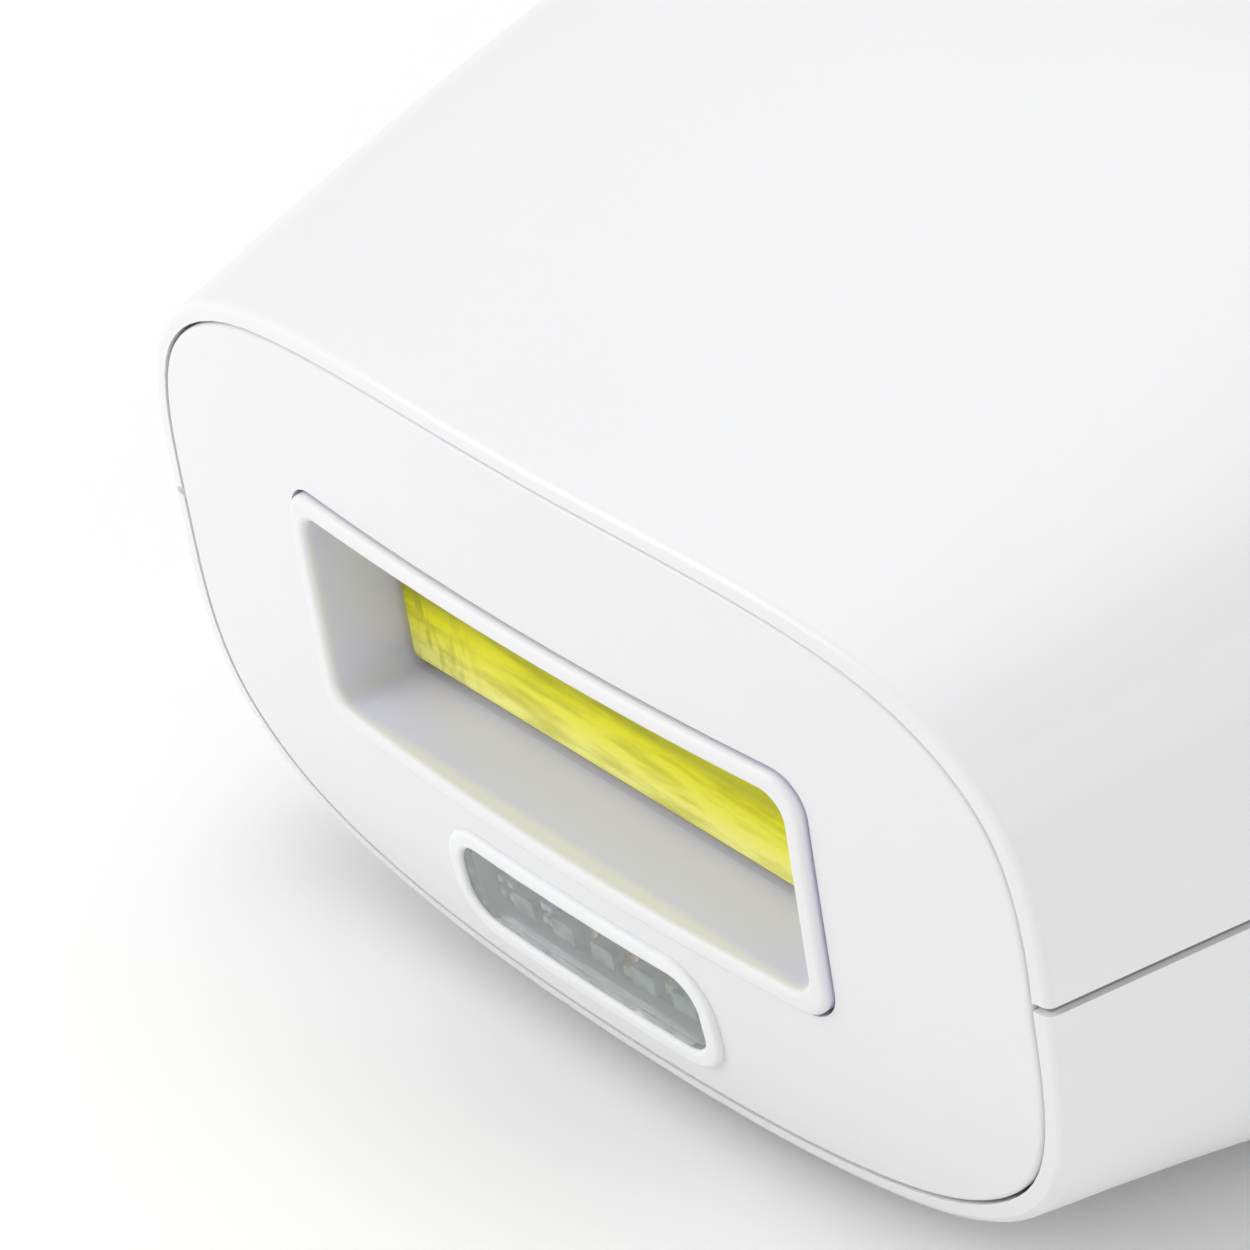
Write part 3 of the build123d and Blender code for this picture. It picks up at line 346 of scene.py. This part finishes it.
def add_block(form, place, axes, sizes, edge=0.0):
    """Block at a place, with its sides along three axes, sizes in mm, edges rounded."""
    fresh = bmesh.ops.create_cube(form, size=MM)["verts"]
    turn = Matrix(axes).transposed().to_4x4() @ Matrix.Diagonal((*sizes, 1))
    bmesh.ops.transform(form, matrix=Matrix.Translation(place) @ turn, verts=fresh)
    if edge:
        edges = list({e for v in fresh for e in v.link_edges})
        bmesh.ops.bevel(form, geom=edges, offset=edge * MM, segments=2, profile=0.5, affect="EDGES",
                        material=-1)


face_axes = (across, into, upward)

# Small parts on the skin-tone sensor's board, seen through its window.
sensor_low, sensor_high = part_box("sensor_board")
half_board = 0.4                                             # mm, half the board's thickness
board_front = (sensor_low + sensor_high) / 2 - into * half_board * MM


def on_board(x, rise, up):
    """Point in front of the sensor's board: across, off the board and up, in mm."""
    return board_front + across * (x * MM) - into * (rise * MM) + upward * (up * MM)


lamps = bmesh.new()
for x in (-8.4, -7.6, -4.9, -4.4):
    for up in (-1.3, -0.45, 0.45, 1.3):
        add_block(lamps, on_board(x, 0.25, up), face_axes, (0.42, 0.5, 0.42), 0.06)
piece("sensor_lamps", lamps, looks["soft_white"], "housing")

diode = bmesh.new()
add_block(diode, on_board(-1.6, 0.3, 1.0), face_axes, (1.1, 0.6, 1.0), 0.08)
diode_look = moulded("sensor_diode", (0.40, 0.09, 0.05), 0.35, 0.3, 0.01, 0.1)
piece("sensor_photodiode", diode, diode_look, "housing")

tracks = bmesh.new()
for x, width in ((-1.3, 0.5), (1.4, 0.9), (1.95, 0.25), (4.55, 0.3), (7.7, 0.35), (8.3, 0.25)):
    add_block(tracks, on_board(x, 0.04, -0.2), face_axes, (width, 0.08, 3.6))
tracks_look = brushed("sensor_tracks", (0.62, 0.42, 0.30), 0.35, (1, 1, 6))
piece("sensor_tracks", tracks, tracks_look, "housing")

caps = bmesh.new()
for x, up in ((4.9, 0.9), (4.9, -0.9), (7.9, 1.2), (8.0, -0.8), (1.6, -1.4)):
    add_block(caps, on_board(x, 0.22, up), face_axes, (0.9, 0.44, 0.6), 0.05)
caps_look = moulded("sensor_capacitors", (0.62, 0.58, 0.30), 0.45, 0.3, 0.01, 0.1)
piece("sensor_capacitors", caps, caps_look, "housing")


# Marks on the keys, laid on their curved tops.
ray_start = 20.0            # mm above the key's middle
mark_rise = 0.04            # mm that a mark stands off the key
mark_thickness = 0.06


def key_surface(node):
    """Ray finder of a key's top, the way the top faces, and the key's middle."""
    mesh = nodes[node].data
    tree = BVHTree.FromPolygons([v.co for v in mesh.vertices], [p.vertices for p in mesh.polygons])
    facing = -Vector(joint[node.replace("_button", "_press")]["axis"]).normalized()
    low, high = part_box(node)
    return tree, facing, (low + high) / 2


def key_mark(name, node, outlines, material):
    """Flat mark of closed outlines, in mm across and along the key, laid on its top."""
    tree, facing, middle = key_surface(node)
    along = facing.cross(across).normalized()
    form = bmesh.new()
    for ring in outlines:
        tops = []
        for a, b in ring:
            start = middle + across * (a * MM) + along * (b * MM) + facing * ray_start * MM
            hit = tree.ray_cast(start, -facing)[0]
            tops.append(form.verts.new(hit + facing * mark_rise * MM))
        bottoms = [form.verts.new(v.co - facing * mark_thickness * MM) for v in tops]
        form.faces.new(tops)
        form.faces.new(bottoms[::-1])
        for k in range(len(tops)):
            n = (k + 1) % len(tops)
            form.faces.new((tops[k], bottoms[k], bottoms[n], tops[n]))
    piece(name, form, material, node)


def bar(a, b, width, height):
    """Corners of a straight bar about the point a, b."""
    return [(a - width / 2, b - height / 2), (a + width / 2, b - height / 2),
            (a + width / 2, b + height / 2), (a - width / 2, b + height / 2)]


def arc_pieces(radius, width, start, end, count):
    """Short quads along part of a ring."""
    quads = []
    for k in range(count):
        a0, a1 = [start + (end - start) * (k + s) / count for s in (0, 1)]
        quads.append([
            (math.sin(a0) * (radius - width / 2), math.cos(a0) * (radius - width / 2)),
            (math.sin(a0) * (radius + width / 2), math.cos(a0) * (radius + width / 2)),
            (math.sin(a1) * (radius + width / 2), math.cos(a1) * (radius + width / 2)),
            (math.sin(a1) * (radius - width / 2), math.cos(a1) * (radius - width / 2)),
        ])
    return quads


stroke = 0.45
arm_middle = 0.85
arm_length = 1.15
minus = bar(0, 0, 2.8, stroke)
plus = [minus, bar(0, arm_middle, stroke, arm_length), bar(0, -arm_middle, stroke, arm_length)]
power_stroke = 0.42
power_arc = arc_pieces(1.9, power_stroke, math.radians(35), math.radians(325), 28)
power_sign = power_arc + [bar(0, 1.55, power_stroke, 1.7)]
mark_look = moulded("key_marks", (0.22, 0.23, 0.25), 0.45, 0.3, 0.0, 0.03)
key_mark("power_mark", "power_button", power_sign, mark_look)
key_mark("up_mark", "intensity_up_button", plus, mark_look)
key_mark("down_mark", "intensity_down_button", [minus], mark_look)

# Bright ring round the inlet's mouth, standing a little out of the end cap.
inlet = next(m for m in record["mounts"] if m["name"] == "power_inlet")
inlet_axis = Vector(inlet["axis"]).normalized()
mouth_distance = 4.5                                         # mm, middle of the bore to its mouth
mouth = Vector(inlet["pos_m"]) + inlet_axis * mouth_distance * MM
ring = bmesh.new()
side_way = inlet_axis.cross(across).normalized()
turns = 48
# Radius and height of the ring's section, in mm.
section = [(3.0, -0.3), (3.0, 0.25), (3.15, 0.4), (3.85, 0.4), (4.1, 0.2), (4.1, -0.3)]
loops = []
for k in range(turns):
    swing = 2 * math.pi * k / turns
    way = across * math.cos(swing) + side_way * math.sin(swing)
    loops.append([ring.verts.new(mouth + way * (r * MM) + inlet_axis * (h * MM)) for r, h in section])
for k in range(turns):
    one, two = loops[k], loops[(k + 1) % turns]
    for j in range(len(section)):
        n = (j + 1) % len(section)
        ring.faces.new((one[j], one[n], two[n], two[j]))
piece("inlet_ring", ring, looks["steel"], "housing")

# ------------------------------------------------------------ camera
camera_data = bpy.data.cameras.new("camera")
camera = bpy.data.objects.new("camera", camera_data)
bpy.context.scene.collection.objects.link(camera)
camera_data.lens = 188.6
camera_data.sensor_width = 36.0
camera_data.clip_start = 0.01
camera_data.clip_end = 20
camera.location = at_face(220.2, -143.94, 188.15)          # in front of the face, to its right, above
look = across * -0.68094 + into * 0.46158 - upward * 0.56857
camera.rotation_mode = "QUATERNION"
camera.rotation_quaternion = look.to_track_quat("-Z", "Y")
bpy.context.scene.camera = camera

# ------------------------------------------------------------ floor and light
floor_form = bmesh.new()
floor_half_width = 3.0
bmesh.ops.create_grid(floor_form, x_segments=1, y_segments=1, size=floor_half_width)
floor_mesh = bpy.data.meshes.new("floor")
floor_form.to_mesh(floor_mesh)
floor = bpy.data.objects.new("floor", floor_mesh)
bpy.context.scene.collection.objects.link(floor)
floor_look, _, floor_shader = new_material("floor_white")
floor_shader.inputs["Base Color"].default_value = (0.94, 0.935, 0.935, 1)
floor_shader.inputs["Roughness"].default_value = 0.8
floor_shader.inputs["Specular IOR Level"].default_value = 0.1
floor_mesh.materials.append(floor_look)

world = bpy.data.worlds.new("studio")
bpy.context.scene.world = world
world.use_nodes = True
sky = world.node_tree.nodes["Background"]
sky.inputs["Color"].default_value = (1, 1, 1, 1)
sky.inputs["Strength"].default_value = 0.66


def soft_light(name, place, target, size, power):
    """Soft box at a place, turned to a target; metres and watts."""
    data = bpy.data.lights.new(name, "AREA")
    data.shape = "RECTANGLE"
    data.size, data.size_y = size
    data.energy = power
    light = bpy.data.objects.new(name, data)
    bpy.context.scene.collection.objects.link(light)
    light.location = place
    light.rotation_mode = "QUATERNION"
    light.rotation_quaternion = (Vector(target) - Vector(place)).to_track_quat("-Z", "Y")


soft_light("front_light", (-0.32, -0.50, 0.28), (0, -0.09, 0.02), (0.35, 0.35), 1.35)
soft_light("top_light", (-0.25, 0.15, 1.0), (0, -0.03, 0.03), (0.9, 0.9), 2.9)
soft_light("side_light", (1.0, -0.1, 0.6), (0, -0.04, 0.03), (0.8, 0.8), 2.2)
bpy.context.scene.view_settings.view_transform = "Standard"
